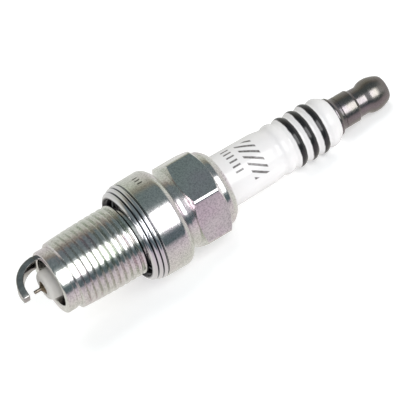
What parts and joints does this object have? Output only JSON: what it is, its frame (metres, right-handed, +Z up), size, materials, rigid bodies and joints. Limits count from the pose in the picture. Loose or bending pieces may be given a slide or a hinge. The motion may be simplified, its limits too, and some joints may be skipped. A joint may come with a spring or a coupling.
{
  "type": "spark plug",
  "caption": "Slim threaded igniter: plated steel shell with hexagon and folded gasket, ribbed white ceramic insulator, screw-on terminal nut and bent earth strap over a fine tip.",
  "frame": {"origin": "on the plug's axis in the plane of the shell's seat face, where the gasket bears", "axes": "+X along the plug's axis towards the terminal, -X towards the firing end, +Z up through a corner of the hexagon"},
  "size_m": [0.078, 0.019, 0.019],
  "materials": {
    "plated_steel": "bright nickel-chromate plating with a faint green and lavender tint",
    "nickel_alloy": "drawn nickel-alloy strap, satin",
    "glazed_alumina": "clear-glazed white alumina with glossy black bands on the ribs",
    "electrode_nickel": "turned nickel alloy, brownish from welding",
    "copper": "drawn copper",
    "tip_metal": "hard platinum-group wire, satin",
    "seal_glass": "copper-filled fused glass",
    "resistor_mass": "sintered carbon-glass mass",
    "gunmetal_stud": "dark plated steel",
    "gunmetal_nut": "dark plated turned steel",
    "gasket_steel": "bright plated folded sheet steel",
    "packing_steel": "soft steel, satin",
    "talc": "pressed talc powder"
  },
  "bodies": {
    "plug_body": {"metal_shell": "plated_steel", "ground_electrode": "nickel_alloy", "insulator": "glazed_alumina", "centre_electrode": "electrode_nickel", "copper_core": "copper", "iridium_tip": "tip_metal", "lower_glass_seal": "seal_glass", "resistor": "resistor_mass", "upper_glass_seal": "seal_glass", "terminal_stud": "gunmetal_stud", "seat_washer": "packing_steel", "lower_packing_ring": "packing_steel", "talc_ring": "talc", "upper_packing_ring": "packing_steel"},
    "terminal_nut": {"terminal_nut": "gunmetal_nut"},
    "gasket": {"gasket": "gasket_steel"}
  },
  "joints": [
    {"name": "terminal_nut_unscrew", "type": "slide", "parent": "plug_body", "child": "terminal_nut", "axis": [1, 0, 0], "range_m": [0, 0.012]},
    {"name": "gasket_spin", "type": "hinge", "parent": "plug_body", "child": "gasket", "pos_m": [-0.0014, 0, 0], "axis": [1, 0, 0], "continuous": true}
  ]
}
